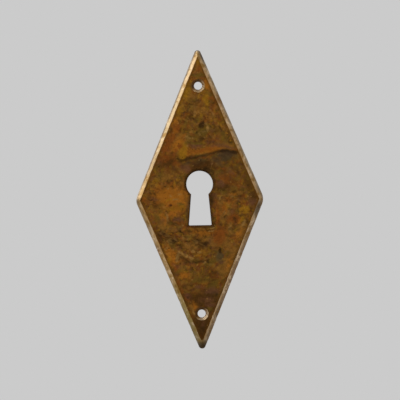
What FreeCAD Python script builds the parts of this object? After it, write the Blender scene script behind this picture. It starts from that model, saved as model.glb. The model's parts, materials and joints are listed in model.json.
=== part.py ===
import FreeCAD, Part
import math
import os

# Keyhole escutcheon: a flat diamond of brass that is pinned over the keyhole of a drawer or cupboard door.
# It is one piece. Millimetres. +Z is up along the long diagonal, +X is to the right, and -Y is the front.
# The origin is the centre of the keyhole's round end, in the back face that lies on the wood.

# Diamond, measured between its corners as they would be before rounding.
long_diagonal = 68.4
short_diagonal = 28.5
plate_thickness = 1.5

# Rounding of the four corners, as worn and filed: each is a little different.
top_tip_radius = 0.72
bottom_tip_radius = 0.80
left_corner_radius = 2.5
right_corner_radius = 3.1

# Rim. An upright edge stands on the back, a steep facet leans in from it and a shallow facet meets the face.
upright_edge_height = 0.45
steep_facet_width = 0.48
shallow_facet_width = 0.54
shallow_facet_drop = 0.28
sharpest_corner = 0.12

# Keyhole: a round end for the key's shank over a slot that widens downward for its bit.
keyhole_above_middle = 3.44
round_end_radius = 2.91
slot_neck_width = 3.77
slot_foot_width = 4.98
slot_foot_below_round = 9.08
slot_foot_corner_radius = 0.2
keyhole_edge_roll = 0.42

# Pin holes near the two tips, countersunk from the front.
pin_hole_spacing = 50.3
pin_hole_radius = 0.87
countersink_radius = 1.41
countersink_depth = 0.54

# Cutting tools reach this far past the plate's faces.
tool_overrun = 1.0

OUT_OF_FRONT = FreeCAD.Vector(0, -1, 0)
INTO_BACK = FreeCAD.Vector(0, 1, 0)


def at(x, height, z):
    """A point at this height in front of the plate's back face."""
    return FreeCAD.Vector(x, -height, z)


def rounded_polygon(corners, radii):
    """A closed wire through the corners, each rounded by a tangent arc of its radius."""
    arcs = []
    for index, corner in enumerate(corners):
        to_last = (corners[index - 1] - corner).normalize()
        to_next = (corners[(index + 1) % len(corners)] - corner).normalize()
        half_angle = to_last.getAngle(to_next) / 2
        inward = (to_last + to_next).normalize()
        tangent_length = radii[index] / math.tan(half_angle)
        middle_depth = radii[index] / math.sin(half_angle) - radii[index]
        start = corner + to_last * tangent_length
        middle = corner + inward * middle_depth
        end = corner + to_next * tangent_length
        arcs.append(Part.Arc(start, middle, end))
    edges = []
    for index, arc in enumerate(arcs):
        edges.append(arc.toShape())
        following = arcs[(index + 1) % len(arcs)]
        edges.append(Part.LineSegment(arc.EndPoint, following.StartPoint).toShape())
    return Part.Wire(edges)


def diamond(inset, height):
    """The plate's outline drawn in by an inset all round, at a height above the back."""
    tip_half_angle = math.atan2(short_diagonal, long_diagonal)
    half_length = long_diagonal / 2 - inset / math.sin(tip_half_angle)
    half_width = short_diagonal / 2 - inset / math.cos(tip_half_angle)
    middle = -keyhole_above_middle
    corners = [
        at(0, height, middle + half_length),
        at(half_width, height, middle),
        at(0, height, middle - half_length),
        at(-half_width, height, middle),
    ]
    outer_radii = [top_tip_radius, right_corner_radius, bottom_tip_radius, left_corner_radius]
    radii = [max(radius - inset, sharpest_corner) for radius in outer_radii]
    return rounded_polygon(corners, radii)


def bevelled_blank():
    """The plate before it is pierced: upright edge, steep facet, shallow facet and flat face."""
    shallow_facet_foot = plate_thickness - shallow_facet_drop
    rim_width = steep_facet_width + shallow_facet_width
    outlines = [
        diamond(0, 0),
        diamond(0, upright_edge_height),
        diamond(steep_facet_width, shallow_facet_foot),
        diamond(rim_width, plate_thickness),
    ]
    return Part.makeLoft(outlines, True, True)


def keyhole_tool():
    """The punch that pierces the keyhole: a round bar over a flared blade with a square foot."""
    start = -tool_overrun
    length = plate_thickness + 2 * tool_overrun
    round_end = Part.makeCylinder(round_end_radius, length, at(0, start, 0), OUT_OF_FRONT)
    neck_below_round = math.sqrt(round_end_radius**2 - (slot_neck_width / 2) ** 2)
    flare = (slot_foot_width - slot_neck_width) / 2 / (slot_foot_below_round - neck_below_round)
    half_top = slot_neck_width / 2 - flare * neck_below_round
    half_foot = slot_foot_width / 2
    corners = [
        at(-half_top, start, 0),
        at(half_top, start, 0),
        at(half_foot, start, -slot_foot_below_round),
        at(-half_foot, start, -slot_foot_below_round),
    ]
    radii = [sharpest_corner, sharpest_corner, slot_foot_corner_radius, slot_foot_corner_radius]
    blade = Part.Face(rounded_polygon(corners, radii)).extrude(OUT_OF_FRONT * length)
    return round_end.fuse(blade).removeSplitter()


def pin_hole_tool(z):
    """A drill with its countersink, entering from the front at this height up the plate."""
    drill_length = plate_thickness + 2 * tool_overrun
    drill = Part.makeCylinder(pin_hole_radius, drill_length, at(0, -tool_overrun, z), OUT_OF_FRONT)
    slope = (countersink_radius - pin_hole_radius) / countersink_depth
    mouth_radius = countersink_radius + slope * tool_overrun
    cone_length = countersink_depth + tool_overrun
    mouth = at(0, plate_thickness + tool_overrun, z)
    cone = Part.makeCone(mouth_radius, pin_hole_radius, cone_length, mouth, INTO_BACK)
    return drill.fuse(cone)


def roll_keyhole_edge(plate, tool):
    """Rounds the keyhole's front edge over, as the punch drew it in."""
    front = at(0, plate_thickness, 0).y
    mouth_edges = []
    for edge in plate.Edges:
        points = edge.discretize(5)
        on_front = all(abs(point.y - front) < 1e-6 for point in points)
        on_tool = all(tool.distToShape(Part.Vertex(point))[0] < 1e-6 for point in points)
        if on_front and on_tool:
            mouth_edges.append(edge)
    return plate.makeFillet(keyhole_edge_roll, mouth_edges)


def escutcheon_plate():
    """The whole escutcheon."""
    tool = keyhole_tool()
    plate = bevelled_blank().cut(tool)
    plate = roll_keyhole_edge(plate, tool)
    for side in (1, -1):
        plate = plate.cut(pin_hole_tool(side * pin_hole_spacing / 2 - keyhole_above_middle))
    return plate


def export(name, shape):
    os.makedirs("parts", exist_ok=True)
    shape.exportStep(f"parts/{name}.step")


export("escutcheon_plate", escutcheon_plate())
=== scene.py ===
import json
import math
import random
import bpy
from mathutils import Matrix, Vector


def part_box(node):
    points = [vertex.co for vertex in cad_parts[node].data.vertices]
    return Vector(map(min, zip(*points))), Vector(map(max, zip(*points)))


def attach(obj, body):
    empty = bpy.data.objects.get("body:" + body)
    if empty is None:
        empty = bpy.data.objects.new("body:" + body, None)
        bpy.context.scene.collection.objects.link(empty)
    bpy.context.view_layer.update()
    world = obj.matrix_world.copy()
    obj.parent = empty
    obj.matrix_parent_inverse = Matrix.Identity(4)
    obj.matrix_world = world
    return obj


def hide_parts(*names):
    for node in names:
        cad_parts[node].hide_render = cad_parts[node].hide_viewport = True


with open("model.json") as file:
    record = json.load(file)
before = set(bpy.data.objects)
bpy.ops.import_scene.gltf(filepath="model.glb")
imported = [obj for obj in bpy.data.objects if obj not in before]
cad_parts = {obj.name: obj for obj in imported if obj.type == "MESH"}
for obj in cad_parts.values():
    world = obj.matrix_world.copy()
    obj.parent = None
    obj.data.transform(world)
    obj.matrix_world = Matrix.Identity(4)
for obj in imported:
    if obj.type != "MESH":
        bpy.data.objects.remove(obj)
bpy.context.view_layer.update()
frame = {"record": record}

from types import SimpleNamespace

import bmesh
import bpy
import numpy as np
from mathutils import Matrix, Vector, noise

bl_info = {
    "name": "Diamond keyhole escutcheon",
    "version": (1, 0, 0),
    "blender": (4, 5, 0),
    "location": "View3D > Sidebar > Escutcheon",
    "description": "A diamond keyhole plate of old brass, brown with age and worn bright along its rim",
    "category": "Add Mesh",
}

MM = 0.001
SEED = 7
MOUNTS = {mount["name"]: mount for mount in frame["record"]["mounts"]}
PIN_DIMS = MOUNTS["pin_holes"]["dims"]
PIN_PATTERN_Z = MOUNTS["pin_holes"]["pos_m"][2]
MIDDLE_Z = PIN_PATTERN_Z / MM
KEY_DIMS = MOUNTS["key_hole"]["dims"]
PLATE_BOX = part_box("escutcheon_plate")


def length(name, description, millimetres, lowest=0.0):
    """A size that a user may change. Blender holds it in metres."""
    return bpy.props.FloatProperty(
        name=name, description=description, default=millimetres * MM, min=lowest,
        subtype="DISTANCE", unit="LENGTH", precision=5,
    )


def power(name, description, default):
    """A lamp's power in watts that a user may change."""
    return bpy.props.FloatProperty(
        name=name, description=description, default=default, min=0.0, unit="POWER",
    )


def colour(name, description, default):
    """A linear colour that a user may change."""
    return bpy.props.FloatVectorProperty(
        name=name, description=description, default=default, size=3, min=0.0, max=1.0, subtype="COLOR",
    )


def tone(red, green, blue):
    """A colour given as it looks on screen, 0 to 255, as the linear colour that a shader takes."""
    def linear(value):
        share = value / 255
        return share / 12.92 if share <= 0.04045 else ((share + 0.055) / 1.055) ** 2.4
    return (linear(red), linear(green), linear(blue))


class EscutcheonSizes(bpy.types.PropertyGroup):
    """Sizes of the plate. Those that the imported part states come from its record."""

    long_diagonal: length("Long diagonal", "Tip to tip, before the tips are rounded", 68.4)
    short_diagonal: length("Short diagonal", "Side corner to side corner, before rounding", 28.5)
    thickness: length("Thickness", "Back face to front face", (PLATE_BOX[1].y - PLATE_BOX[0].y) / MM)
    top_tip_radius: length("Top tip radius", "Rounding of the top tip", 0.72)
    bottom_tip_radius: length("Bottom tip radius", "Rounding of the bottom tip", 0.80)
    left_corner_radius: length("Left corner radius", "Rounding of the left corner", 2.5)
    right_corner_radius: length("Right corner radius", "Rounding of the right corner", 3.1)
    upright_edge: length("Upright edge", "Height of the rim's upright edge above the back", 0.45)
    steep_facet: length("Steep facet", "Width of the rim's steep facet, seen from the front", 0.48)
    shallow_facet: length("Shallow facet", "Width of the rim's shallow facet, seen from the front", 0.54)
    shallow_drop: length("Shallow drop", "How far the shallow facet falls below the face", 0.28)
    sharpest_corner: length("Sharpest corner", "Rounding left where a facet runs out at a tip", 0.12)
    round_end_radius: length("Round end radius", "Keyhole's round end", KEY_DIMS["r_mm"])
    neck_width: length("Slot neck width", "Slot's width where it leaves the round end", 3.77)
    foot_width: length("Slot foot width", "Slot's width at its foot", 4.98)
    foot_drop: length("Slot foot drop", "Slot's foot below the round end's centre", 9.08)
    foot_corner_radius: length("Foot corner radius", "Rounding of the slot's two foot corners", 0.2)
    pin_spacing: length("Pin hole spacing", "Between the pin holes", PIN_DIMS["spacing_y_mm"])
    pin_radius: length("Pin hole radius", "Hole for the pin's shank", PIN_DIMS["hole_r_mm"])
    sink_radius: length("Countersink radius", "Countersink at the face", 1.41)
    sink_depth: length("Countersink depth", "Countersink below the face", 0.54)
    arris_radius: length("Arris radius", "How far wear has rounded each arris", 0.06)
    arris_left: length("Arris drift left", "How far left the line between the facets was struck", 0.09)
    arris_up: length("Arris drift up", "How far up the line between the facets was struck", 0.22)
    mesh_step: length("Mesh step", "Spacing of the points of the worn surface", 0.2)


class EscutcheonColours(bpy.types.PropertyGroup):
    """Colours of the metal, its patina and its stains."""

    patina_dark: colour("Dark patina", "Oldest and darkest brown", tone(70, 44, 14))
    patina_brown: colour("Brown patina", "The face's middle brown", tone(99, 63, 21))
    patina_tan: colour("Tan patina", "Thin dry patina", tone(118, 80, 30))
    amber: colour("Amber patina", "Orange-brown, where brass glows through", tone(143, 87, 23))
    ochre: colour("Ochre patina", "Yellow-brown, where brass glows through", tone(132, 92, 18))
    olive: colour("Olive stain", "Greenish tarnish", tone(92, 70, 22))
    russet: colour("Russet stain", "Red-brown tarnish", tone(112, 60, 18))
    # This near-black also carries painted shadow: in the crease, under the curled ridge, in the countersinks
    # and on the rim's darker stretches.
    umber_and_shade: colour("Umber stain", "Near-black spots and streaks", tone(44, 27, 9))
    edge_brown: colour("Edge brown", "Thick brown where the face meets the rim", tone(84, 51, 6))
    plum: colour("Plum stain", "Purple-brown tarnish", tone(92, 58, 36))
    # This colour also carries painted highlight along the curled ridge and the foot's nicks.
    scuff_and_highlight: colour("Scuffed tan", "Bare spots and short pale scrapes", tone(132, 97, 48))
    # Under the crease this grime is painted shadow of the fold.
    soot: colour("Soot", "Grey-brown grime, most of it under the crease", tone(61, 46, 29))
    verdigris: colour("Grey-green stain", "Spots of grey-green corrosion", tone(79, 62, 34))
    worn_brass: colour("Worn brass", "Metal rubbed bright on the rim", tone(190, 154, 108))
    # Flecks of worn metal, and painted highlights: the rim's glint and the countersinks' lit side.
    bright_brass_and_highlight: colour("Bright brass", "Metal rubbed brightest, in flecks and glints", tone(232, 205, 168))
    # On the steep facet, partly tarnish and partly painted shade.
    dull_brass_and_shade: colour("Dull brass", "Tarnished metal on the rim's steep facet", tone(156, 134, 104))
    # Mostly a painted highlight on the upper left, the side that faces the key lamp.
    pale_brass_highlight: colour("Pale brass", "Paler metal, most of it on the upper left", tone(188, 164, 126))
    gold_brass: colour("Gold brass", "Yellower metal along the lower left", tone(180, 143, 84))
    green_brass: colour("Green brass", "Greenish metal towards the bottom tip", tone(140, 126, 74))


class EscutcheonStage(bpy.types.PropertyGroup):
    """The room, lamps and camera."""

    background: colour("Background", "Plain pale grey all round", tone(203, 203, 203))
    view_width: length("View width", "Width of the picture at the plate's face", 88.2)
    centre_x: length("Centre X", "Picture's centre, right of the keyhole's", 0.035, lowest=-1.0)
    centre_z: length("Centre Z", "Picture's centre, above the keyhole's", -3.52, lowest=-1.0)
    lean: bpy.props.FloatProperty(
        name="Lean", description="How far the plate leans left in the picture",
        default=math.radians(0.93), subtype="ANGLE", unit="ROTATION",
    )
    lens: bpy.props.FloatProperty(
        name="Lens", description="Long lens, for a flat view", default=200.0, min=1.0, unit="CAMERA",
    )
    key_power: power("Key lamp", "Soft lamp at the upper left", 1.5)
    fill_power: power("Fill lamp", "Soft lamp in front", 0.2)
    edge_power: power("Edge lamp", "Soft lamp at the upper left, behind the plate", 0.135)
    floor_drop: length("Floor drop", "Floor below the plate's bottom tip", 28)
    floor_radius: length("Floor radius", "Round floor", 130)


# Mesh of the plate. It is built in millimetres, because the filling of faces needs points well apart.

# How finely it is cut: steps round each kind of arc, and cuts along the slot's sides and foot.
CORNER_STEPS = 10
ROUND_END_STEPS = 56
FOOT_CORNER_STEPS = 4
PIN_STEPS = 40
ARRIS_STEPS = 3
ROLL_STEPS = 6
SLOT_CUTS = (30, 20, 30)


def in_millimetres(sizes):
    """The sizes as plain numbers in millimetres."""
    return SimpleNamespace(**{name: getattr(sizes, name) / MM for name in sizes.__annotations__})


def softened(corners, radii, steps):
    """A profile whose inner corners are each an arc of its radius. The outer two only give its directions."""
    points = []
    for index in range(1, len(corners) - 1):
        corner = Vector(corners[index])
        back = (Vector(corners[index - 1]) - corner).normalized()
        ahead = (Vector(corners[index + 1]) - corner).normalized()
        half_angle = back.angle(ahead) / 2
        radius = radii[index - 1]
        centre = corner + (back + ahead).normalized() * radius / math.sin(half_angle)
        first = (corner + back * radius / math.tan(half_angle) - centre).normalized()
        last = (corner + ahead * radius / math.tan(half_angle) - centre).normalized()
        points += [centre + first.slerp(last, step / steps) * radius for step in range(steps + 1)]
    return points


def spaced(points, longest):
    """The same profile, with more points where two lie further apart than the longest step."""
    result = [points[0]]
    for point in points[1:]:
        start = result[-1]
        pieces = max(1, round((point - start).length / longest))
        result += [start.lerp(point, piece / pieces) for piece in range(1, pieces + 1)]
    return result


def ring(bm, arcs, cuts, height):
    """A closed ring of edges: arcs spun clockwise as seen from the front, joined by straight runs."""
    small = bmesh.new()
    ends = []
    for start, centre, sweep, steps in arcs:
        first = small.verts.new((start.x, -height, start.y))
        spun = bmesh.ops.spin(
            small, geom=[first], cent=(centre.x, -height, centre.y), axis=(0, 1, 0), dvec=(0, 0, 0),
            angle=sweep, steps=steps, use_merge=False, use_duplicate=False,
        )
        ends.append((first, spun["geom_last"][0]))
    runs = [small.edges.new((last, ends[(i + 1) % len(ends)][0])) for i, (_, last) in enumerate(ends)]
    for run, cut in zip(runs, cuts):
        if cut:
            bmesh.ops.subdivide_edges(small, edges=[run], cuts=cut)
    mesh = bpy.data.meshes.new("ring")
    small.to_mesh(mesh)
    small.free()
    earlier = len(bm.edges)
    bm.from_mesh(mesh)
    bpy.data.meshes.remove(mesh)
    bm.edges.ensure_lookup_table()
    return bm.edges[earlier:]


def half_spans(s, inset):
    """Half the length and half the width of the outline drawn in by an inset, with its corners sharp."""
    tip_angle = math.atan2(s.short_diagonal, s.long_diagonal)
    return (
        s.long_diagonal / 2 - inset / math.sin(tip_angle),
        s.short_diagonal / 2 - inset / math.cos(tip_angle),
    )


def diamond_ring(bm, s, inset, height):
    """The plate's outline drawn in by an inset, each corner keeping what is left of its radius.

    The line between the two facets was struck a little off centre, and the facets follow it.
    """
    tip_angle = math.atan2(s.short_diagonal, s.long_diagonal)
    side_angle = math.pi / 2 - tip_angle
    half_length, half_width = half_spans(s, inset)
    steep, rim = s.steep_facet, s.steep_facet + s.shallow_facet
    drift = max(0, min(inset / steep, (rim - inset) / (rim - steep))) if height else 0
    middle = Vector((-s.arris_left * drift, MIDDLE_Z + s.arris_up * drift))
    across, along = math.cos(tip_angle), math.sin(tip_angle)
    corners = [
        ((0, half_length), (-across, along), tip_angle, s.top_tip_radius),
        ((half_width, 0), (across, along), side_angle, s.right_corner_radius),
        ((0, -half_length), (across, -along), tip_angle, s.bottom_tip_radius),
        ((-half_width, 0), (-across, -along), side_angle, s.left_corner_radius),
    ]
    arcs = []
    for apex, side_normal, half_angle, outer_radius in corners:
        radius = max(outer_radius - inset, s.sharpest_corner)
        inward = -Vector(apex).normalized()
        centre = middle + Vector(apex) + inward * radius / math.sin(half_angle)
        start = centre + Vector(side_normal) * radius
        arcs.append((start, centre, math.pi - 2 * half_angle, CORNER_STEPS))
    side = math.hypot(s.long_diagonal, s.short_diagonal) / 2
    return ring(bm, arcs, [round(side / s.mesh_step)] * 4, height)


def slot_side(s, margin):
    """Half width of the slot at the keyhole's centre level, its growth per millimetre down, and its lean."""
    neck = s.neck_width / 2
    neck_depth = math.sqrt(s.round_end_radius**2 - neck**2)
    flare = (s.foot_width / 2 - neck) / (s.foot_drop - neck_depth)
    lean = math.atan(flare)
    return neck - flare * neck_depth + margin / math.cos(lean), flare, lean


def keyhole_ring(bm, s, margin, height):
    """The keyhole's outline grown by a margin: round end, then the slot's two foot corners."""
    half_top, flare, lean = slot_side(s, margin)
    radius = s.round_end_radius + margin
    blend = half_top * flare
    spread = 1 + flare**2
    neck_depth = (math.sqrt(blend**2 - spread * (half_top**2 - radius**2)) - blend) / spread
    neck = half_top + flare * neck_depth
    foot_depth = s.foot_drop + margin
    foot = half_top + flare * foot_depth
    corner_radius = s.foot_corner_radius + margin
    turn = math.pi / 2 + lean
    centre_x = foot - corner_radius * (1 + math.sin(lean)) / math.cos(lean)
    centre_z = corner_radius - foot_depth
    right, left = Vector((centre_x, centre_z)), Vector((-centre_x, centre_z))
    sweep = math.tau - 2 * math.atan2(neck, neck_depth)
    arcs = [
        (Vector((-neck, -neck_depth)), Vector((0, 0)), sweep, ROUND_END_STEPS),
        (right + corner_radius * Vector((math.cos(lean), math.sin(lean))), right, turn, FOOT_CORNER_STEPS),
        (left - corner_radius * Vector((0, 1)), left, turn, FOOT_CORNER_STEPS),
    ]
    return ring(bm, arcs, SLOT_CUTS, height)


def pin_ring(bm, z, radius, height):
    """One circle round a pin hole."""
    centre = Vector((0, z))
    sweep = math.tau * (PIN_STEPS - 1) / PIN_STEPS
    return ring(bm, [(centre + Vector((0, radius)), centre, sweep, PIN_STEPS - 1)], [0], height)


def skirt(bm, make_ring, profile):
    """Rings along a profile, bridged one to the next. Returns the first and the last."""
    rings = [make_ring(point.x, point.y) for point in profile]
    for lower, upper in zip(rings, rings[1:]):
        bmesh.ops.bridge_loops(bm, edges=lower + upper)
    return rings[0], rings[-1]


def rim_depth(s, x, z):
    """How far a point lies inside the plate's straight sides."""
    tip_angle = math.atan2(s.short_diagonal, s.long_diagonal)
    across, along = math.cos(tip_angle), math.sin(tip_angle)
    return s.short_diagonal / 2 * across - np.abs(x) * across - np.abs(z - MIDDLE_Z) * along


def keyhole_gap(s, x, z):
    """How far a point lies outside the keyhole, negative inside it."""
    half_top, flare, lean = slot_side(s, 0)
    to_round = np.hypot(x, z) - s.round_end_radius
    to_side = (np.abs(x) - half_top + flare * z) * math.cos(lean)
    to_foot = -z - s.foot_drop
    outside = np.hypot(np.maximum(to_side, 0), np.maximum(to_foot, 0))
    to_slot = np.where(np.maximum(to_side, to_foot) > 0, outside, np.maximum(to_side, to_foot))
    return np.minimum(to_round, np.where(z < 0, to_slot, to_round))


def pin_gap(s, x, z):
    """How far a point lies from the axis of the nearer pin hole."""
    return np.hypot(x, np.abs(z - MIDDLE_Z) - s.pin_spacing / 2)


def fill_face(bm, s, loops, height, step, clear):
    """A flat face: a grid of squares kept clear of the loops, and a band of triangles out to each of them."""
    half_length, half_width = half_spans(s, 0)
    columns, rows = round(2 * half_width / step), round(2 * half_length / step)
    lie = (
        Matrix.Translation((0, -height, MIDDLE_Z))
        @ Matrix.Rotation(math.radians(90), 4, "X")
        @ Matrix.Diagonal((half_width, half_length, 1, 1))
    )
    made = bmesh.ops.create_grid(bm, x_segments=columns, y_segments=rows, size=1, matrix=lie)
    fits = {vert: clear(vert.co.x, vert.co.z) for vert in made["verts"]}
    faces = {face for vert in made["verts"] for face in vert.link_faces}
    outside = [face for face in faces if not all(fits[vert] for vert in face.verts)]
    bmesh.ops.delete(bm, geom=outside, context="FACES")
    edges = {edge for vert in made["verts"] if vert.is_valid for edge in vert.link_edges}
    border = [edge for edge in edges if edge.is_boundary]
    for loop, owns in loops:
        near = [edge for edge in border if owns(*(edge.verts[0].co + edge.verts[1].co).xz / 2)]
        bmesh.ops.triangle_fill(bm, edges=loop + near, use_beauty=True)


def plate_mesh(s):
    """The escutcheon's closed mesh, in millimetres, before wear."""
    bm = bmesh.new()
    thick, arris, step = s.thickness, s.arris_radius, s.mesh_step
    ledge = 2 * arris
    rim = s.steep_facet + s.shallow_facet
    rim_corners = [
        (ledge, 0), (0, 0), (0, s.upright_edge), (s.steep_facet, thick - s.shallow_drop),
        (rim, thick), (rim + ledge, thick),
    ]
    roll = thick - KEY_DIMS["length_mm"]
    keyhole_corners = [(ledge, 0), (0, 0), (0, thick), (roll + arris, thick)]
    pin, sink = s.pin_radius, s.sink_radius
    pin_corners = [
        (pin + ledge, 0), (pin, 0), (pin, thick - s.sink_depth),
        (sink, thick), (sink + ledge, thick),
    ]
    longest = 1.3 * step
    rim_profile = spaced(softened(rim_corners, [arris] * 4, ARRIS_STEPS), longest)
    keyhole_profile = spaced(softened(keyhole_corners, [arris, roll], ROLL_STEPS), longest)
    pin_profile = spaced(softened(pin_corners, [arris] * 3, ARRIS_STEPS), longest)

    rim_back, rim_front = skirt(bm, lambda inset, height: diamond_ring(bm, s, inset, height), rim_profile)
    key_back, key_front = skirt(bm, lambda inset, height: keyhole_ring(bm, s, inset, height), keyhole_profile)
    pins = []
    for side in (1, -1):
        z = MIDDLE_Z + side * s.pin_spacing / 2
        pins.append(skirt(bm, lambda radius, height, z=z: pin_ring(bm, z, radius, height), pin_profile))

    gap = 0.6 * step
    keyhole_zone, pin_zone = 1.5, 6
    for height, spacing, rims, keys, pin_index, margins in (
        (thick, step, rim_front, key_front, 1, (rim + ledge, roll + arris, sink + ledge)),
        (0, 3 * step, rim_back, key_back, 0, (ledge, ledge, pin + ledge)),
    ):
        rim_limit, key_limit, pin_limit = (margin + gap for margin in margins)

        def clear(x, z):
            in_rim = rim_depth(s, x, z) > rim_limit
            return in_rim and keyhole_gap(s, x, z) > key_limit and pin_gap(s, x, z) > pin_limit

        def by_key(x, z):
            return keyhole_gap(s, x, z) < keyhole_zone and pin_gap(s, x, z) > pin_zone

        def by_pin(x, z):
            return pin_gap(s, x, z) < pin_limit + 1.5 * spacing and rim_depth(s, x, z) > rim_limit

        loops = [
            (keys, by_key),
            (pins[0][pin_index], lambda x, z: by_pin(x, z) and z > MIDDLE_Z),
            (pins[1][pin_index], lambda x, z: by_pin(x, z) and z < MIDDLE_Z),
            (rims, lambda x, z: not by_key(x, z) and not by_pin(x, z)),
        ]
        fill_face(bm, s, loops, height, spacing, clear)
    bmesh.ops.recalc_face_normals(bm, faces=bm.faces)
    return bm


# Wear, stains, and painted shade and highlights. Places are millimetres across and up from the keyhole's
# centre, as seen from the front.

# A dark crease runs across the face above the keyhole, and deepens to the right. Its dark line and the grime
# just below it are painted shadow of the fold. The orange band just above it is partly patina and partly a
# painted highlight on the fold's upper side.
CREASE = ((-4.7, 5.7), (-3.6, 5.3), (-1.6, 5.6), (0.4, 6.1), (2.2, 6.6), (4.0, 7.1), (6.2, 7.3), (8.3, 6.8))
# A small curled ridge below the keyhole, pale along its top, partly scraped metal and partly painted
# highlight, and the painted shadow line under it.
CURLED_RIDGE = ((-5.3, -16.8), (-5.2, -15.7), (-4.7, -15.1), (-3.7, -15.5), (-2.8, -15.9), (-1.9, -16.4))
UNDER_RIDGE = ((-4.4, -16.0), (-3.4, -16.6), (-2.4, -17.1), (-1.4, -17.3), (0.4, -17.1), (1.6, -17.2))
# Two bright nicks under the slot's foot, on its right: scraped metal with a painted highlight.
FOOT_NICK_HIGHLIGHTS = (((1.9, -9.75), (3.1, -9.7)), ((1.7, -10.45), (2.9, -10.35)))
# A dark streak near the left corner.
SIDE_STREAK = ((-10.6, -4.4), (-9.6, -5.0), (-8.6, -5.3), (-7.4, -5.5))

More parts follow.
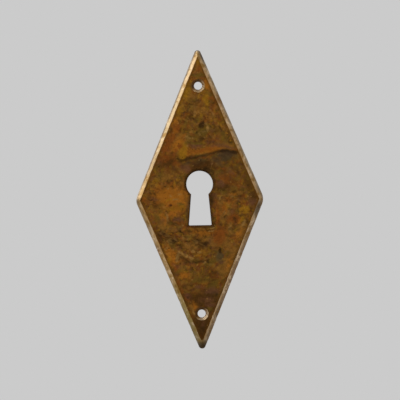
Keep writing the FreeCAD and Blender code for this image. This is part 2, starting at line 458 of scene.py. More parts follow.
# Each stain: place, half length and half width in tenths of a millimetre, strength in tenths, and tilt in
# degrees from level. "scuffed" says where the face is scraped and rough. The other layers are colours, and
# patina() gives their order.
STAINS = {
    "shade": (
        (-96, -46, 8, 5, 8, 0), (-59, 118, 9, 4, 8, 67), (41, 183, 14, 4, 7, -67), (22, 125, 5, 9, 7, 0),
        (84, 24, 14, 6, 7, -60), (-80, -19, 13, 5, 7, 10), (6, -110, 12, 7, 7, 0), (98, -82, 10, 6, 8, 65),
        (-54, -90, 16, 5, 7, -5), (-70, -147, 16, 5, 7, -10), (24, -260, 12, 6, 8, 50),
        (-40, -201, 18, 4, 6, 0), (-122, -31, 8, 6, 6, 90), (-73, -75, 8, 4, 6, 0), (-65, -81, 8, 6, 6, 0),
        (90, -70, 8, 5, 5, 60), (68, -116, 12, 4, 5, 20), (-13, 158, 24, 5, 6, 58), (34, -262, 14, 6, 9, 62),
        (74, 34, 16, 7, 6, -50), (-20, 89, 11, 4, 8, 0), (-26, 144, 18, 4.5, 8, 50), (-40, -62, 9, 6, 6, 0),
        (-30, 120, 12, 5, 5, 60), (30, 199, 8, 5, 6, -60), (-54, 68, 9, 5, 5, 70), (-80, -36, 8, 5, 6, -30),
        (-56, -16, 7, 3, 6, 10), (-42, -54, 8, 3.5, 7, 0), (88, -26, 9, 5, 6, 40), (40, -22, 7, 4, 6, 10),
        (60, -94, 8, 5, 5, -20), (16, -186, 16, 5, 5, 10), (-96, -24, 30, 8, 7, 10), (39, -39, 6, 12, 4, 0),
        (2, -104, 30, 8, 7, 0), (-36, -172, 12, 7, 6, -10), (9, 39, 46, 14, 9, 0), (-72, 50, 30, 15, 8, 5),
        (49, 34, 28, 13, 6, -55), (52, -9, 22, 13, 7.5, -10), (78, 2, 24, 12, 5, -60),
        (66, 54, 20, 9, 6, -10), (106, 4, 32, 9, 7, -68), (120, -30, 16, 10, 8, 90),
        (-93, -114, 17, 8, 7, -65), (-69, -116, 19, 8, 6, -25), (4, -254, 44, 16, 10, 2),
        (26, -218, 18, 12, 7, 60), (-4, -112, 26, 8, 5, 0), (20, -274, 19, 11, 9, 60),
        (0, -328, 40, 26, 13, 90), (9, 43, 26, 10, 12, 0), (-32, 56, 18, 7, 9, 20), (-58, 32, 14, 10, 6, 0),
        (82, 36, 18, 8, 5, -50), (2, -134, 18, 10, 8, -30), (0, -216, 30, 8, 5, 0), (14, -244, 26, 9, 8, 0),
        (-66, -14, 14, 6, 6, 20), (-72, -122, 22, 6, 6, -10), (60, 12, 18, 7, 6, -20),
        (34, 126, 12, 6, 5, -60), (30, -32, 15, 5, 7, 90), (-42, 62, 8, 6, 6, 0), (-66, -87, 12, 6, 8, -20),
        (-26, -104, 10, 6, 7, 0), (68, -162, 16, 7, 7, 65), (-62, -200, 9, 6, 6, -60),
        (-24, -226, 14, 9, 8, 0), (18, -236, 22, 8, 8, 0), (28, -272, 12, 8, 8, 60), (46, 142, 9, 7, 6, -60),
        (7, 112, 22, 11, 7.5, 75), (32, 119, 12, 10, 6, 60), (-22, 146, 12, 6, 6, 30), (-6, 172, 9, 9, 5, 0),
        (37, 184, 15, 6, 7, 65), (6, 241, 10, 6, 6, 0), (26, -196, 16, 7, 5, 10),
    ),
    "tan": (
        (-42, 162, 18, 7, 9, 64), (-24, 97, 10, 6, 8, 20), (-41, 1, 8, 8, 8, 0), (84, -17, 12, 5, 8, -20),
        (90, -66, 10, 5, 7, 0), (86, -98, 10, 5, 8, 60), (-23, -129, 7, 4, 8, 0), (40, -185, 9, 5, 8, 20),
        (-29, -227, 7, 5, 8, 0), (62, -188, 20, 6, 9, 64), (-42, -218, 10, 6, 8, 0),
        (72, -154, 16, 8, 10, 65), (52, -180, 16, 6, 8, 60), (68, 79, 16, 5, 9, -12),
        (-30, -84, 10, 5, 5, 0), (0, -98, 24, 3, 7, 0), (-34, 174, 14, 6, 7, 64), (28, 149, 12, 8, 7, 0),
        (-14, 196, 12, 8, 7, 0), (56, 124, 14, 7, 6.5, -62), (72, 80, 16, 5, 8, -10),
        (-36, 30, 10, 7, 7, 40), (66, -66, 26, 8, 7, 85), (62, -138, 14, 8, 7, 0), (-66, -98, 16, 7, 7, -10),
        (-96, -68, 26, 5, 6, -62), (-16, -142, 10, 6, 7, 0), (26, -127, 24, 10, 11, -20),
        (44, 46, 12, 8, 6, 0), (82, 62, 16, 8, 7, -60), (-102, -6, 14, 7, 6, 40), (-58, -214, 12, 7, 8, -65),
        (-70, -162, 14, 7, 6, -60), (68, -106, 12, 10, 6, 0), (0, 260, 22, 9, 8, 90),
        (20, 220, 10, 6, 7, -65), (-22, 195, 12, 7, 7, 60), (6, 160, 22, 12, 8, 0), (-46, 152, 20, 8, 6, 63),
        (-50, 102, 16, 9, 7, 60), (58, 86, 26, 6, 10, -5), (15, 69, 26, 7, 7, 6), (78, 102, 12, 6, 8, -60),
        (-74, 16, 18, 12, 8, 30), (-44, -32, 24, 8, 8, 90), (-98, -64, 16, 7, 7, -60),
        (-84, -92, 12, 8, 8, -50), (49, -56, 28, 8, 10, 88), (90, -104, 18, 10, 7, 65),
        (-26, -136, 12, 8, 10, 0), (49, -126, 18, 9, 10, -20), (-42, -160, 14, 8, 7, -30),
        (48, -190, 12, 8, 8, 60), (-53, -214, 9, 6, 8, -65), (-22, -272, 14, 6, 8, -60),
    ),
    # The band just above the crease is partly orange patina and partly a painted highlight on the fold's
    # upper side.
    "amber": (
        (-53, 117, 12, 5, 8, 64), (-36, 80, 12, 4, 7, 10), (10, 84, 24, 3.5, 6, 10), (-24, 64, 7, 5, 8, 30),
        (-68, -54, 10, 5, 7, 0), (21, 220, 14, 6, 9, -67), (-14, -268, 12, 6, 7, -60),
        (55, -54, 16, 9, 9, 60), (85, -82, 10, 7, 6, 60), (-122, -30, 10, 7, 6, 0),
        (-62, -30, 38, 26, 10.5, -8), (-56, -60, 24, 12, 7, 25), (-84, -74, 16, 9, 8, -60),
        (-46, 89, 22, 10, 9, 50), (18, 75, 54, 9, 8.5, 5), (36, -70, 22, 6, 5, 88),
        (92, -58, 17, 12, 4, -60), (76, -22, 10, 8, 6, 0), (87, -112, 18, 8, 6, 65),
        (63, -176, 20, 8, 6, 66), (-66, -156, 28, 10, 9, -66), (-36, -203, 13, 10, 7, 0),
        (5, -217, 15, 6, 6, 0), (2, -108, 36, 7, 6, 0), (-52, 136, 14, 7, 7, 62),
    ),
    "ochre": (
        (100, -58, 14, 8, 8, -60), (87, -60, 8, 3.5, 8, 90), (6, 151, 9, 5, 8, 80), (56, -48, 7, 4, 9, 0),
        (-41, -47, 6, 4, 10, 0), (-35, -69, 5, 3, 9, 0), (-69, -34, 8, 2.5, 8, 10), (1, 268, 10, 5, 9, 90),
        (-38, 126, 12, 7, 7, 60), (-26, 142, 9, 8, 4, 0), (-58, -128, 12, 6, 4, 0),
        (-35, 71, 17, 10, 12, 85), (-26, 204, 22, 9, 9, 64), (17, 186, 20, 7, 8, -80),
        (-42, 159, 15, 7, 8, 62), (-52, -52, 20, 5, 8, 5), (68, -50, 13, 6, 8, 20), (93, -78, 11, 5, 8, 70),
        (-66, -172, 13, 5, 8, -66), (4, -152, 22, 7, 6, 15), (-20, -226, 8, 5, 6, 0),
        (46, 134, 12, 4, 6, -62), (-96, 6, 14, 7, 6, 62),
    ),
    # The band just above the crease is partly red-brown patina and partly a painted highlight on the fold's
    # upper side.
    "russet": (
        (-125, -33, 8, 6, 8, 0), (30, 188, 10, 6, 7, 0), (-53, 72, 5, 8, 6, 0), (74, -48, 10, 8, 7, -40),
        (50, 34, 12, 5, 6, 0), (-36, 134, 16, 4, 6, 70), (1, 256, 10, 5, 8, 90), (84, -6, 4, 3.5, 9, 0),
        (36, 186, 12, 6, 6, -64), (50, -56, 18, 10, 6, 70), (-42, -86, 12, 6, 6, 0),
        (34, 172, 10, 6, 5, -60), (46, 142, 8, 5, 6, -64), (-44, -236, 9, 5, 7, -64),
        (-24, -130, 10, 6, 4, 0), (-66, 94, 26, 10, 9, 62), (-72, 58, 24, 10, 7, 20), (-49, 46, 12, 8, 7, 0),
        (6, 40, 18, 7, 3.5, 0), (-94, -42, 24, 10, 4.5, -40), (-50, -50, 18, 8, 5, 10),
        (-58, -182, 15, 6, 8, -66), (-32, -250, 12, 7, 7, -60), (-46, 124, 12, 9, 8, 60),
        (12, 76, 36, 6, 6.5, 6), (-43, 84, 6, 5, 10, 60), (32, 166, 22, 6, 4, -66), (56, 14, 18, 9, 7, 30),
        (44, -114, 22, 13, 10, 70), (39, -76, 18, 6, 8, 88), (72, -78, 13, 10, 10, 0), (63, -36, 8, 8, 7, 0),
        (-63, -46, 5, 4, 10, 0), (-76, -4, 18, 9, 5, 10), (-74, -66, 15, 8, 3.5, -20),
        (-50, -216, 9, 5, 8, -60), (0, -336, 12, 5, 6, 90), (79, 76, 11, 4, 6, -10),
    ),
    "olive": (
        (-4, 89, 18, 4, 9, 0), (80, 58, 12, 8, 6, -60), (82, 12, 10, 8, 6, 0), (42, 118, 12, 9, 6, 0),
        (10, 52, 18, 4, 6, 8), (3, 239, 13, 5, 9, 0), (50, -19, 17, 11, 6, 0), (-14, 102, 18, 6, 7, 0),
        (17, 120, 5, 10, 8, 10), (-28, 136, 10, 8, 6, 60), (0, 142, 18, 9, 6, 30), (-20, 90, 16, 8, 6, 0),
        (54, 102, 12, 10, 7, -60), (-4, -212, 34, 8, 7, 0), (50, -228, 16, 6, 7, 66),
        (-14, -168, 14, 9, 7, 0), (-86, -46, 12, 6, 6, 30), (-76, -4, 12, 6, 5, 0), (74, -14, 12, 8, 6, 40),
        (-16, 174, 19, 12, 6, 60), (8, 116, 19, 13, 9, 40), (66, 54, 18, 6, 8, -10), (34, 62, 16, 4, 7, 12),
        (26, -170, 17, 9, 8, 20), (30, -224, 14, 9, 9, 50), (19, -274, 10, 6, 8, 60),
        (-64, -132, 13, 8, 8, -50), (-24, -116, 20, 8, 5, 10), (52, 110, 10, 7, 8, 60),
        (-18, 99, 12, 8, 7, 0), (-88, 22, 16, 11, 6, 40), (-94, -76, 12, 8, 7, -60),
        (104, 16, 13, 5, 6, -65), (-41, -43, 5, 3, 8, 0), (-65, -86, 8, 5, 6, 0), (-49, -192, 8, 6, 7, 0),
    ),
    "plum": (
        (-6, 47, 19, 6, 4.5, 4), (71, -63, 9, 6, 6, 80), (30, -28, 8, 6, 6, 0), (-5, 84, 19, 4, 8, 2),
        (64, 81, 18, 4, 8, -5), (19, -266, 13, 6, 9, 0), (118, -42, 12, 10, 8, 0), (-86, -80, 10, 7, 5, 0),
        (29, 44, 6, 5, 5, 0), (-98, -34, 10, 5, 6, 0), (-103, -32, 12, 7, 5.5, -15), (46, 1, 9, 7, 8, 0),
        (-30, 34, 14, 8, 8, -40), (30, 92, 16, 6, 6, 0), (-47, -78, 13, 7, 7, 10), (45, -174, 8, 3, 8, 5),
        (-31, -247, 9, 6, 10, -20), (26, -236, 18, 9, 9, 10), (12, -256, 20, 8, 6, 0),
        (-6, -228, 20, 6, 6, 0), (2, -308, 8, 6, 6, 90), (44, 85, 24, 5, 6.5, 0), (-54, -179, 8, 6, 6, -50),
        (19, -126, 14, 7, 6, 60), (-93, 46, 12, 5, 5, 20), (68, 26, 14, 6, 5, -40),
    ),
    # Grime. Under the crease it is painted shadow of the fold.
    "soot": (
        (56, 62, 23, 12, 9.5, 0), (62, 70, 19, 5, 11, -6), (12, 52, 24, 6, 5, 8), (40, 50, 18, 7, 7, -40),
        (-26, 44, 16, 6, 5, 0), (50, 88, 24, 5, 3.5, 0), (24, -150, 22, 10, 4, 20), (30, -244, 18, 9, 5, 10),
        (43, -160, 6, 8, 9, 0), (-26, -50, 34, 5, 6.5, 85),
    ),
    "umber_and_shade": (
        (-61, -46, 4, 3, 7, 0), (-79, -20, 5, 2, 6, 20), (77, -84, 3, 3, 7, 0), (50, -14, 6, 3, 6, 30),
        (8.5, 133, 8.5, 3.8, 11, 65), (-16, 176, 11, 3, 5, -10), (89, -34, 7, 4, 5.5, 0),
        (-9, -125, 10, 5, 8.5, 10), (10, -134, 9, 6, 9, 40), (43, -147, 5, 4.5, 11, 80),
        (75, -80, 7, 5, 6.5, 30), (-82, -110, 10, 5, 6, -20), (-60, -125, 12, 6, 8.5, 10),
        (-47, -134, 10, 3, 6.5, -10), (-40, 122, 10, 3.5, 6, 50), (-22, 164, 6, 3, 6, 60),
        (9, 99, 14, 3.5, 5, 10), (76, -18, 7, 4, 6, 10), (4, 46, 24, 8, 5, 4), (-30, -52, 36, 6, 4, 85),
        (25, -36, 16, 5, 7.5, 95), (-109, -34, 6, 3, 6, 0), (-30, -250, 5, 2.5, 7, 0),
        (34, -246, 6, 3, 7, 60), (40, 189, 7, 2.5, 8, 60), (-3, 113, 5, 3, 7, 60), (13, -170, 3, 2.5, 7, 0),
        (-130, -33, 5, 3, 9, 90), (19, 31, 16, 4.5, 9, -25), (33, 26, 2.5, 10, 6, 5),
        (0, -338, 34, 20, 6.8, 90), (2, -275, 12, 6, 6, 10), (-39, 53, 5, 3, 8, 10),
    ),
    # Scraped spots. The lines laid into this layer along the curled ridge and the foot's nicks are partly
    # painted highlight.
    "bare": (
        (-74, -73, 3.5, 12, 8, 0), (-16, -286, 9, 3, 8, -75), (-52, -33, 7, 2, 9, 0), (46, -30, 3, 9, 6, 0),
        (94, -88, 2.5, 9, 8, -20), (66, -96, 3, 8, 6, 0), (17, 121, 3.5, 7, 7, 10), (-20, 101, 12, 3, 6, 0),
        (-10, 152, 3, 9, 5, -30), (30, 156, 3, 12, 5, 8), (-46, -22, 8, 3, 6, 0), (-76, -50, 9, 3, 5, -10),
        (74, -30, 8, 3, 6, 20), (-16, -147.5, 3.5, 2.5, 9, 20), (-3, -150, 5, 2.5, 8, -30),
        (-22, -132, 5, 2.5, 6, -20), (9, -175, 3, 3, 11, 0), (-76, -140, 5, 2.5, 7, 60),
        (-80, -126, 3, 8, 5, 0), (29, 38, 3, 13, 4.5, -4), (-65, -26, 3, 2.5, 7, 0), (54, -64, 3.5, 5, 7, 0),
        (3, 109, 3, 6, 7, -20), (-30, 104, 9, 2.5, 6, 5), (16, 126, 2.5, 9, 6, -15),
    ),
    "verdigris": (
        (42, -161, 12, 7.5, 9, 90), (15, 118, 7, 4, 5, 20), (54, 57, 19, 5, 4, 0),
    ),
    "scuffed": (
        (-45, -135, 55, 45, 12, -30), (-5, -165, 30, 20, 12, 0), (5, 140, 40, 36, 11, 80),
        (70, -40, 34, 30, 8, 0), (-85, 30, 30, 24, 8, 60), (0, -25, 135, 325, 3, 0),
    ),
}

# What differs along the rim's metal, in the same six numbers.
RIM_STAINS = {
    # Darker metal: at the bottom tip most of all, and in stretches along the sides. Partly tarnish and partly
    # painted shade, above all along the lower right, which faces away from the key lamp.
    "rim_tarnish_and_shade": (
        (0, -364, 22, 18, 10, 90), (0, -345, 80, 50, 4.5, 90), (76, -207, 170, 10, 4, 67.4),
        (10, 280, 16, 3, 8, -67.4), (-104, 36, 70, 12, 4.6, 67.4), (136, -26, 16, 8, 4, -70),
        (-136, -36, 12, 8, 5, 90), (93, 70, 8, 16, 4, 20), (46, 188, 8, 14, 4, 20),
        (127, -55, 24, 10, 7.5, 67.4), (128, -14, 18, 9, 5, -67.4), (36, -280, 50, 8, 4.7, 67.4),
        (-113, -94, 20, 7, 5.2, -67.4),
    ),
    # Patina that has crept out over the inner facet: upper left, and a little on the lower left.
    "rim_creep": (
        (-70, 132, 170, 12, 7, 67.4), (-102, 44, 90, 12, 8, 67.4), (-32, 230, 25, 12, 9.5, 67.4),
        (-70, -201, 150, 10, 2, -67.4),
    ),
    # Paler metal, mostly painted highlight: along the upper left, which faces the key lamp, at the top tip
    # and beside both pin holes.
    "rim_pale_highlight": (
        (-66, 132, 180, 14, 10, 67.4), (-3, 290, 8, 12, 10, 0), (5, 212, 16, 16, 8, 0),
        (5, -291, 16, 16, 8, 0),
    ),
    # Yellower metal: along the lower left and at the left corner.
    "rim_gold": (
        (-70, -201, 170, 12, 9, -67.4), (-38, -278, 60, 12, 12.5, -67.4), (-124, 0, 40, 10, 4.5, 67.4),
    ),
    # Reddened metal: along the lower right, and one spot on each of two other sides.
    "rim_red": (
        (76, -207, 170, 10, 6, 67.4), (46, 186, 12, 8, 5, -67), (-94, -144, 9, 7, 5, -67),
    ),
    # The inner facet's bright line, along the lower right: worn metal with a painted highlight.
    "rim_glint": (
        (68, -189, 100, 14, 9, 67.4),
    ),
    # Greenish metal: on the lower left, towards the bottom tip.
    "rim_green": (
        (-28, -304, 70, 13, 7.5, -67.4),
    ),
}

# Where the keyhole's dark edge is rubbed narrower, along the slot's left side, and by how much at most.
KEYHOLE_RUB = ((-24, -56, 28, 12, 10, 85),)
RUB_WIDTH = 0.45
# How far the patina creeps out over the rim at most.
CREEP_WIDTH = 0.17

# What shows along each line: the colour layer, strength, half width, and how much wider it ends.
PAINTED_LINES = (
    # Painted shadow of the fold, along the crease.
    ("umber_and_shade", CREASE, 0.75, 0.36, 0.2),
    # Painted shadow under the curled ridge.
    ("umber_and_shade", UNDER_RIDGE, 0.65, 0.45, 0),
    ("umber_and_shade", SIDE_STREAK, 0.35, 0.35, 0),
    # Scraped metal, partly painted highlight, along the curled ridge and the foot's nicks.
    ("bare", CURLED_RIDGE, 0.9, 0.36, 0),
    ("bare", FOOT_NICK_HIGHLIGHTS[0], 1.1, 0.14, 0),
    ("bare", FOOT_NICK_HIGHLIGHTS[1], 1.1, 0.14, 0),
)

# How deep each line is sunk, how much deeper it ends, and its half width. The ridge stands up.
SUNK_LINES = (
    (CREASE, 0.03, 0.04, 0.3),
    (UNDER_RIDGE, 0.03, 0, 0.3),
    (SIDE_STREAK, 0.015, 0, 0.25),
    (CURLED_RIDGE, -0.02, 0, 0.2),
)

# Small hollows in the face: place, radius and depth. More are strewn at random.
HOLLOWS = (
    (0.8, 13.3, 0.5, 0.06), (-0.9, -12.5, 0.6, 0.05), (0.8, -13.4, 0.6, 0.07), (4.3, -14.7, 0.4, 0.06),
    (4.3, -15.9, 0.7, 0.03), (7.5, -8.0, 0.5, 0.04), (-6.1, -12.1, 0.8, 0.04), (-8.2, -11.0, 0.8, 0.04),
)
STREWN_HOLLOWS = 70
NICKS_PER_ARRIS = 34

# Bare metal shows in the pin holes only above this height. Below it their gap is given as this wide.
PIN_METAL_HEIGHT = 0.5
NO_PIN_NEAR = 9.0


def on_front(s, height):
    """How far each point belongs to the front: from 0 down on the rim's steep facet to 1 at the face."""
    return np.clip((height - s.thickness + 0.4) / 0.3, 0, 1)


def ripple(points, wavelength, shift):
    """Smooth noise at each point, from -1 to 1, of about this wavelength."""
    drift = Vector((shift, 2.7 * shift, -1.3 * shift))
    return np.array([noise.noise(Vector(point) / wavelength + drift) for point in points])


def wander(points, shift):
    """How far the stains' outlines wander sideways at each point, in millimetres."""
    return 0.45 * ripple(points, 1.6, shift) + 0.2 * ripple(points, 0.6, shift + 1)


def line_mark(x, z, line, half_width, widening=0):
    """How strongly a line of straight pieces shows at each point, and how far along the line, both 0 to 1."""
    nearest = np.full(x.shape, 1e9)
    share = np.zeros(x.shape)
    for index, (start, end) in enumerate(zip(line, line[1:])):
        run_x, run_z = end[0] - start[0], end[1] - start[1]
        along = np.clip(((x - start[0]) * run_x + (z - start[1]) * run_z) / (run_x**2 + run_z**2), 0, 1)
        gap = np.hypot(x - start[0] - along * run_x, z - start[1] - along * run_z)
        share = np.where(gap < nearest, (index + along) / (len(line) - 1), share)
        nearest = np.minimum(nearest, gap)
    return np.exp(-((nearest / (half_width + widening * share)) ** 2)), share


def stain_layer(x, z, stains):
    """How strongly a layer's stains show at each point. Each is an oval that fades out at its border."""
    layer = np.zeros(x.shape)
    for *tenths, tilt in stains:
        centre_x, centre_z, half_length, half_width, strength = (number / 10 for number in tenths)
        turn = math.radians(tilt)
        along = (x - centre_x) * math.cos(turn) + (z - centre_z) * math.sin(turn)
        across = (z - centre_z) * math.cos(turn) - (x - centre_x) * math.sin(turn)
        reach = np.hypot(along / half_length, across / half_width)
        layer = np.maximum(layer, strength * np.clip(1.2 - 0.7 * reach, 0, 1))
    return layer


def wear(s, place):
    """How far wear has sunk each point of the plate, in millimetres. No point rises past the solid."""
    x, height, z = place[:, 0], -place[:, 1], place[:, 2]
    dice = random.Random(SEED)
    front = on_front(s, height)

    # The whole surface is worn a little, in long and in short waves.
    sunk = 0.012 + 0.014 * ripple(place, 5.0, 1.0) + 0.006 * ripple(place, 1.5, 2.0)
    hollows = list(HOLLOWS)
    half_length, half_width = half_spans(s, 0)
    for _ in range(STREWN_HOLLOWS):
        across = dice.uniform(-1, 1) * half_width
        up = dice.uniform(-1, 1) * half_length + MIDDLE_Z
        hollows.append((across, up, dice.uniform(0.25, 0.6), dice.uniform(0.012, 0.04)))
    for across, up, radius, depth in hollows:
        near = np.clip(1 - ((x - across) ** 2 + (z - up) ** 2) / radius**2, 0, 1)
        sunk += depth * near**2 * front
    for line, depth, deepening, width in SUNK_LINES:
        mark, share = line_mark(x, z, line, width)
        sunk += front * (depth + deepening * share) * mark

    arrises = (
        (0, s.upright_edge),
        (s.steep_facet, s.thickness - s.shallow_drop),
        (s.steep_facet + s.shallow_facet, s.thickness),
    )
    for inset, arris_height in arrises:
        half_length, half_width = half_spans(s, inset)
        for _ in range(NICKS_PER_ARRIS):
            share = dice.uniform(0.03, 0.97)
            across = dice.choice((-1, 1)) * half_width * (1 - share)
            up = dice.choice((-1, 1)) * half_length * share + MIDDLE_Z
            radius = dice.uniform(0.25, 0.8)
            depth = dice.uniform(0.015, 0.05)
            away = (x - across) ** 2 + (height - arris_height) ** 2 + (z - up) ** 2
            sunk += depth * np.clip(1 - away / radius**2, 0, 1) ** 2
    return np.maximum(sunk, 0)


def paint_layers(s, mesh, place):
    """Writes what the material reads at each point: depths from the edges, and how strong each stain, painted
    shade and painted highlight is.
    """
    x, height, z = place[:, 0], -place[:, 1], place[:, 2]
    front = on_front(s, height)
    shift_x, shift_z = wander(place, 5.0), wander(place, 7.0)
    layers = {name: front * stain_layer(x + shift_x, z + shift_z, stains) for name, stains in STAINS.items()}
    for name, line, strength, half_width, widening in PAINTED_LINES:
        mark, _ = line_mark(x + 0.3 * shift_x, z + 0.3 * shift_z, line, half_width, widening)
        layers[name] = np.maximum(layers[name], front * strength * mark)

    above_back = height > s.upright_edge / 2
    layers["rim_depth"] = np.where(above_back, rim_depth(s, x, z), 0.0)
    layers["rim_arris"] = np.where(above_back, rim_depth(s, x + s.arris_left, z - s.arris_up), 0.0)
    layers["keyhole_gap"] = keyhole_gap(s, x, z) + RUB_WIDTH * stain_layer(x, z, KEYHOLE_RUB)
    layers["pin_gap"] = np.where(height > PIN_METAL_HEIGHT, pin_gap(s, x, z), NO_PIN_NEAR)
    # How far each point lies towards the lower right of its pin hole: the countersink's side that faces the
    # key lamp and gets a painted highlight.
    below_pin = s.pin_spacing / 2 - np.abs(z - MIDDLE_Z)
    below_pin = np.where(z > MIDDLE_Z, below_pin, -below_pin)
    layers["pin_lit_side"] = 0.5 + (x + below_pin) / (2 * s.sink_radius)
    layers |= {name: stain_layer(x, z, stains) for name, stains in RIM_STAINS.items()}
    layers["rim_tarnish_and_shade"] = np.where(height > 0.1, layers["rim_tarnish_and_shade"], 0.5)
    for name, values in layers.items():
        attribute = mesh.attributes.new(name, "FLOAT", "POINT")
        attribute.data.foreach_set("value", values.astype(np.float32))


# Material. Its patterns are measured in millimetres on the plate.

def wire(tree, value, socket):
    """Feeds a socket with another node's output, or sets it to a plain value."""
    if isinstance(value, bpy.types.NodeSocket):
        tree.links.new(value, socket)
    elif isinstance(value, (tuple, list)) or hasattr(value, "hsv"):
        socket.default_value = (*value, 1.0) if len(value) == 3 and len(socket.default_value) == 4 else value
    else:
        socket.default_value = value


def add_node(tree, kind, inputs, output=0, **settings):
    """Adds a shader node with its settings and inputs. Returns one of its outputs."""
    node = tree.nodes.new(kind)
    for name, value in settings.items():
        setattr(node, name, value)
    for name, value in inputs.items():
        wire(tree, value, node.inputs[name])
    return node.outputs[output]


def cloud(tree, place, scale, detail, roughness=0.55, distortion=0.0, shift=0.0):
    """Noise with this many waves to the millimetre, moved aside by a shift so that no two patterns match."""
    moved = add_node(tree, "ShaderNodeMapping", {"Vector": place, "Location": (shift, -shift, 1.7 * shift)})
    settings = {"Scale": scale, "Detail": detail, "Roughness": roughness, "Distortion": distortion}
    return add_node(tree, "ShaderNodeTexNoise", {"Vector": moved, **settings})


def strokes(tree, place, tilt, shift):
    """Noise drawn out into short strokes, tilted by degrees from level."""
    lie = {"Rotation": (0, math.radians(-tilt), 0), "Scale": (1.7, 1.2, 0.8)}
    where = {"Vector": place, "Location": (shift, -shift, 1.7 * shift)}
    drawn_out = add_node(tree, "ShaderNodeMapping", {**where, **lie}, vector_type="TEXTURE")
    settings = {"Scale": 1.0, "Detail": 1, "Distortion": 0.2}
    return add_node(tree, "ShaderNodeTexNoise", {"Vector": drawn_out, **settings})


def sums(tree, operation, first, second):
    """One step of arithmetic."""
    return add_node(tree, "ShaderNodeMath", {0: first, 1: second}, operation=operation)


def product(tree, first, second):
    """One value times another."""
    return sums(tree, "MULTIPLY", first, second)


def weighted(tree, *parts):
    """The sum of values, each times its weight."""
    total, *others = [product(tree, value, weight) for value, weight in parts]
    for part in others:
        total = sums(tree, "ADD", total, part)
    return total


def frayed(tree, value, waves, amount):
    """A value pushed up and down by noise, so that whatever starts at a level of it gets a ragged edge."""
    return sums(tree, "ADD", value, product(tree, sums(tree, "SUBTRACT", waves, 0.5), amount))


def ramped(tree, value, start, end, low=0.0, high=1.0):
    """A smooth rise from low to high while the value goes from start to end."""
    if start > end:
        start, end, low, high = end, start, high, low
    limits = {"From Min": start, "From Max": end, "To Min": low, "To Max": high}
    return add_node(tree, "ShaderNodeMapRange", {"Value": value, **limits}, interpolation_type="SMOOTHSTEP")


def mixed(tree, share, first, second, blend_type="MIX"):
    """The second colour laid over the first by a share."""
    # The node has its colours at inputs 6 and 7 and at output 2.
    inputs = {0: share, 6: first, 7: second}
    return add_node(tree, "ShaderNodeMix", inputs, 2, data_type="RGBA", blend_type=blend_type)


def glazed(tree, surface, shade, value, start, end, most):
    """A surface under a colour that grows to its most as a value goes from start to end."""
    return mixed(tree, ramped(tree, value, start, end, high=most), surface, shade)


def two_toned(tree, surface, value, near, far, most, low_shade, high_shade):
    """A surface with one colour laid where noise is low and another where it is high.

    Each grows from near to far off the noise's middle.
    """
    surface = glazed(tree, surface, low_shade, value, 0.5 - near, 0.5 - far, most)
    return glazed(tree, surface, high_shade, value, 0.5 + near, 0.5 + far, most)


def layer_value(tree, name):
    """A value that the mesh carries."""
    return add_node(tree, "ShaderNodeAttribute", {}, "Fac", attribute_name=name)


def new_material(name):
    """An empty material: itself, its nodes, its shader's inputs and the place on the object."""
    material = bpy.data.materials.new(name)
    material.use_nodes = True
    tree = material.node_tree
    shader = tree.nodes["Principled BSDF"].inputs
    return material, tree, shader, add_node(tree, "ShaderNodeTexCoord", {}, "Object")


def patina(tree, c, place, mottle, grain):
    """The face's brown: clouds and flecks, placed stains with painted shade and highlights among them, then
    scuff strokes, specks and fine relief.
    """
    broad = cloud(tree, place, 0.18, 2, distortion=0.6)
    clouds = cloud(tree, place, 0.55, 2, roughness=0.5, distortion=1.0, shift=11.0)
    ramp = tree.nodes.new("ShaderNodeValToRGB")
    tree.links.new(weighted(tree, (broad, 0.35), (clouds, 0.45), (mottle, 0.20)), ramp.inputs["Fac"])
    stops = ((0.40, c.patina_dark), (0.49, c.patina_brown), (0.60, c.patina_tan))
    while len(ramp.color_ramp.elements) < len(stops):
        ramp.color_ramp.elements.new(0.5)
    for element, (position, shade) in zip(ramp.color_ramp.elements, stops):
        element.position = position
        element.color = (*shade, 1.0)
    surface = ramp.outputs["Color"]

    hue = cloud(tree, place, 0.35, 2, distortion=0.8, shift=29.0)
    surface = two_toned(tree, surface, hue, 0.02, 0.14, 0.5, c.olive, c.russet)
    for shift, low_shade, high_shade in ((53.0, c.olive, c.russet), (61.0, c.ochre, c.plum)):
        fleck = cloud(tree, place, 1.2, 1, roughness=0.6, shift=shift)
        surface = two_toned(tree, surface, fleck, 0.07, 0.14, 0.5, low_shade, high_shade)

    fray = weighted(tree, (mottle, 0.8), (grain, 0.2))
    for name, shade, most in (
        ("shade", c.patina_dark, 0.95),
        ("tan", c.patina_tan, 0.85),
        ("amber", c.amber, 0.85),
        ("ochre", c.ochre, 0.85),
        ("russet", c.russet, 0.85),
        ("olive", c.olive, 0.8),
        ("plum", c.plum, 0.85),
        ("soot", c.soot, 0.9),
        ("verdigris", c.verdigris, 0.9),
        ("umber_and_shade", c.umber_and_shade, 0.85),
        ("bare", c.scuff_and_highlight, 0.85),
    ):
        level = frayed(tree, layer_value(tree, name), fray, 0.9)
        surface = glazed(tree, surface, shade, level, 0.16, 0.84, most)

    scuffed = layer_value(tree, "scuffed")
    for tilt, shift, shade, most in (
        (-28, 31.0, c.umber_and_shade, 0.2),
        (12, 37.0, c.umber_and_shade, 0.15),
        (-24, 43.0, c.scuff_and_highlight, 0.4),
        (35, 47.0, c.scuff_and_highlight, 0.3),
    ):
        stroke = ramped(tree, strokes(tree, place, tilt, shift), 0.55, 0.75, high=most)
        surface = mixed(tree, product(tree, stroke, scuffed), surface, shade)
    specks = cloud(tree, place, 1.6, 0, shift=71.0)
    surface = two_toned(tree, surface, specks, 0.25, 0.3, 0.6, c.umber_and_shade, c.scuff_and_highlight)
    relief = ramped(tree, weighted(tree, (mottle, 0.6), (grain, 0.4)), 0.36, 0.64, low=0.72, high=1.28)
    share = ramped(tree, scuffed, 0.3, 0.9, low=0.6, high=0.85)
    return mixed(tree, share, surface, relief, "MULTIPLY")


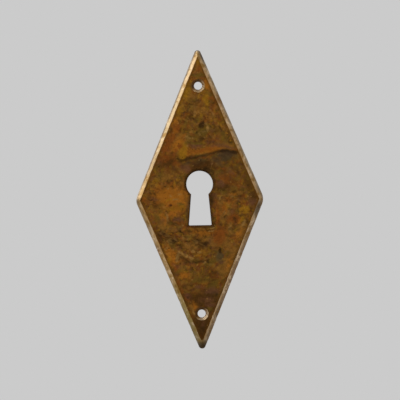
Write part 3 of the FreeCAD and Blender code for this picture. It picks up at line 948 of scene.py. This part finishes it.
def patinated_brass(c, s):
    """Old brass: brown patina with stains and painted shade, and metal worn bright on the rim and round the
    pin holes, with painted highlights there.
    """
    material, tree, shader, place = new_material("patinated_brass")
    place = add_node(tree, "ShaderNodeMapping", {"Vector": place, "Scale": (1 / MM, 1 / MM, 1 / MM)})
    mottle = cloud(tree, place, 1.1, 3, roughness=0.5, distortion=0.5, shift=3.0)
    grain = cloud(tree, place, 3.0, 2, roughness=0.5, shift=5.0)
    patches = cloud(tree, place, 0.35, 3, shift=17.0)
    names = (*RIM_STAINS, "rim_depth", "rim_arris", "keyhole_gap", "pin_gap", "pin_lit_side")
    layer = {name: layer_value(tree, name) for name in names}
    steep, rim, countersink = s.steep_facet, s.steep_facet + s.shallow_facet, s.sink_radius

    # Where the metal shows: on the rim, and on the lower right side of the countersinks, which faces the key
    # lamp, so that the metal there is partly wear and partly painted highlight. All the depths and gaps are
    # millimetres, from the outline, the keyhole's edge and the pin holes' axes.
    creep = product(tree, layer["rim_creep"], CREEP_WIDTH)
    crept = sums(tree, "ADD", frayed(tree, layer["rim_depth"], mottle, 0.25), creep)
    pin = frayed(tree, layer["pin_gap"], mottle, 0.5)
    sink = ramped(tree, pin, countersink + 0.14, countersink - 0.06)
    # Metal on the countersinks' lower right: partly wear, partly painted highlight.
    rubbed = product(tree, sink, ramped(tree, layer["pin_lit_side"], 0.2, 0.7, low=0.1))
    metal = sums(tree, "MAXIMUM", ramped(tree, crept, rim + 0.06, rim - 0.06), rubbed)

    face = patina(tree, c, place, mottle, grain)
    face = glazed(tree, face, c.umber_and_shade, frayed(tree, layer["keyhole_gap"], mottle, 0.5), 0.85, 0.3, 0.62)
    face = glazed(tree, face, c.edge_brown, layer["rim_depth"], rim + 0.68, rim + 0.03, 0.6)
    # Painted shade in the countersinks.
    face = mixed(tree, product(tree, sink, 0.5), face, c.umber_and_shade)

    # The steep facet is duller: partly tarnish and partly painted shade, for the darker surroundings it would
    # reflect.
    # The glints, painted highlights on worn metal, lie along the inner half of the shallow facet.
    steep_shade = ramped(tree, frayed(tree, layer["rim_arris"], mottle, 0.25), steep + 0.08, steep - 0.06)
    inner = ramped(tree, layer["rim_arris"], steep + 0.18, steep + 0.36)
    brass = c.worn_brass
    for share, shade in (
        (layer["rim_pale_highlight"], c.pale_brass_highlight),
        (steep_shade, c.dull_brass_and_shade),
        (product(tree, layer["rim_gold"], 0.75), c.gold_brass),
        (layer["rim_green"], c.green_brass),
        (layer["rim_red"], c.russet),
        (product(tree, inner, layer["rim_glint"]), c.bright_brass_and_highlight),
    ):
        brass = mixed(tree, share, brass, shade)
    speckle = weighted(tree, (patches, 0.5), (mottle, 0.5))
    brass = glazed(tree, brass, c.ochre, speckle, 0.49, 0.38, 0.7)
    brass = glazed(tree, brass, c.bright_brass_and_highlight, speckle, 0.51, 0.62, 0.6)
    # The rim's darkening: tarnish and painted shade.
    tarnish = sums(tree, "ADD", layer["rim_tarnish_and_shade"], product(tree, mottle, 0.4))
    brass = glazed(tree, brass, c.umber_and_shade, tarnish, 0.45, 1.1, 0.85)
    # A painted highlight on the lower right of each countersink's inner part.
    deep = ramped(tree, pin, countersink - 0.06, countersink - 0.31)
    pin_glint = product(tree, deep, ramped(tree, layer["pin_lit_side"], 0.5, 1.0))
    brass = mixed(tree, pin_glint, brass, c.bright_brass_and_highlight)

    wire(tree, mixed(tree, metal, face, brass), shader["Base Color"])
    wire(tree, ramped(tree, metal, 0.0, 1.0, low=0.8), shader["Metallic"])
    wire(tree, sums(tree, "ADD", weighted(tree, (mottle, 0.3), (metal, -0.16)), 0.36), shader["Roughness"])
    wire(tree, 0.1, shader["Specular IOR Level"])
    relief = weighted(tree, (mottle, 0.7), (grain, 0.3))
    bump = add_node(tree, "ShaderNodeBump", {"Strength": 0.3, "Distance": 0.2 * MM, "Height": relief})
    wire(tree, bump, shader["Normal"])
    return material


def placed(name, data):
    """A new object in the scene."""
    obj = bpy.data.objects.new(name, data)
    bpy.context.scene.collection.objects.link(obj)
    return obj


class ESCUTCHEON_OT_plate(bpy.types.Operator):
    """Makes the worn plate with its bevelled rim, keyhole and pin holes"""

    bl_idname = "escutcheon.plate"
    bl_label = "Plate"

    def execute(self, context):
        s = in_millimetres(context.scene.escutcheon_sizes)
        bm = plate_mesh(s)
        mesh = bpy.data.meshes.new("patinated_plate")
        bm.to_mesh(mesh)
        bm.free()
        place, normal = np.empty((2, len(mesh.vertices), 3))
        mesh.vertices.foreach_get("co", place.ravel())
        mesh.vertices.foreach_get("normal", normal.ravel())
        paint_layers(s, mesh, place)
        worn = place - normal * wear(s, place)[:, None]
        mesh.vertices.foreach_set("co", (worn * MM).ravel())
        mesh.shade_smooth()
        mesh.update()

        plate = placed("patinated_plate", mesh)
        mesh.materials.append(patinated_brass(context.scene.escutcheon_colours, s))
        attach(plate, "root")
        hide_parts("escutcheon_plate")
        return {"FINISHED"}


# Stage.

def floor_material(shade, radius):
    """A pale matt floor that fades out towards its rim."""
    material, tree, shader, place = new_material("pale_floor")
    dusting = add_node(tree, "ShaderNodeTexNoise", {"Vector": place, "Scale": 60})
    darker = tuple(0.96 * part for part in shade)
    distance = add_node(tree, "ShaderNodeVectorMath", {0: place}, "Value", operation="LENGTH")
    wire(tree, mixed(tree, dusting, shade, darker), shader["Base Color"])
    wire(tree, ramped(tree, distance, radius, 0.5 * radius), shader["Alpha"])
    wire(tree, 0.9, shader["Roughness"])
    wire(tree, 0.1, shader["Specular IOR Level"])
    return material


def lamp(name, power, size, direction, distance, target):
    """A soft square lamp that faces the target from a direction."""
    data = bpy.data.lights.new(name, "AREA")
    data.shape = "SQUARE"
    data.size = size
    data.energy = power
    obj = placed(name, data)
    obj.visible_camera = False
    obj.location = target + Vector(direction).normalized() * distance
    obj.rotation_euler = Vector(direction).to_track_quat("Z", "Y").to_euler()


class ESCUTCHEON_OT_stage(bpy.types.Operator):
    """Makes the pale floor, the even light and the camera square to the plate"""

    bl_idname = "escutcheon.stage"
    bl_label = "Stage"

    def execute(self, context):
        scene = context.scene
        stage = scene.escutcheon_stage
        world = bpy.data.worlds.new("pale_room")
        world.use_nodes = True
        air = world.node_tree.nodes["Background"]
        air.inputs["Color"].default_value = (*stage.background, 1.0)
        air.inputs["Strength"].default_value = 1.0
        scene.world = world
        scene.view_settings.view_transform = "Standard"

        mesh = bpy.data.meshes.new("floor")
        bm = bmesh.new()
        bmesh.ops.create_circle(bm, cap_ends=True, segments=96, radius=stage.floor_radius)
        bm.to_mesh(mesh)
        bm.free()
        floor = placed("floor", mesh)
        floor.location = (0, 0, PLATE_BOX[0].z - stage.floor_drop)
        mesh.materials.append(floor_material(stage.background, stage.floor_radius))

        middle = Vector((0, 0, PIN_PATTERN_Z))
        lamp("key_lamp", stage.key_power, 0.6, (-0.56, -0.60, 0.58), 0.5, middle)
        lamp("fill_lamp", stage.fill_power, 0.4, (0.05, -1.0, 0.1), 0.5, middle)
        lamp("edge_lamp", stage.edge_power, 0.2, (-0.83, 0.44, 0.36), 0.35, middle)

        data = bpy.data.cameras.new("camera")
        data.lens = stage.lens
        data.sensor_width = 36
        data.clip_start = 0.01
        data.clip_end = 10
        camera = placed("camera", data)
        distance = stage.view_width * stage.lens / data.sensor_width
        camera.location = (stage.centre_x, PLATE_BOX[0].y - distance, stage.centre_z)
        camera.rotation_euler = (math.pi / 2, stage.lean, 0)
        scene.camera = camera
        return {"FINISHED"}


class ESCUTCHEON_PT_panel(bpy.types.Panel):
    """Lists what can be made, with the sizes and colours that a user may change"""

    bl_idname = "ESCUTCHEON_PT_panel"
    bl_label = "Keyhole escutcheon"
    bl_space_type = "VIEW_3D"
    bl_region_type = "UI"
    bl_category = "Escutcheon"

    def draw(self, context):
        layout = self.layout
        for operator in (ESCUTCHEON_OT_plate, ESCUTCHEON_OT_stage):
            layout.operator(operator.bl_idname)
        for name in GROUPS:
            group = getattr(context.scene, name)
            box = layout.box()
            for key in group.__annotations__:
                box.prop(group, key)


GROUPS = {
    "escutcheon_sizes": EscutcheonSizes,
    "escutcheon_colours": EscutcheonColours,
    "escutcheon_stage": EscutcheonStage,
}
CLASSES = (*GROUPS.values(), ESCUTCHEON_OT_plate, ESCUTCHEON_OT_stage, ESCUTCHEON_PT_panel)


def register():
    """Registers the classes and gives the scene their settings."""
    for cls in CLASSES:
        bpy.utils.register_class(cls)
    for name, group in GROUPS.items():
        setattr(bpy.types.Scene, name, bpy.props.PointerProperty(type=group))


def unregister():
    """Takes back what register() did."""
    for name in GROUPS:
        delattr(bpy.types.Scene, name)
    for cls in reversed(CLASSES):
        bpy.utils.unregister_class(cls)


def main():
    """Builds the plate and its stage."""
    register()
    bpy.ops.escutcheon.plate()
    bpy.ops.escutcheon.stage()


if __name__ == "__main__":
    main()
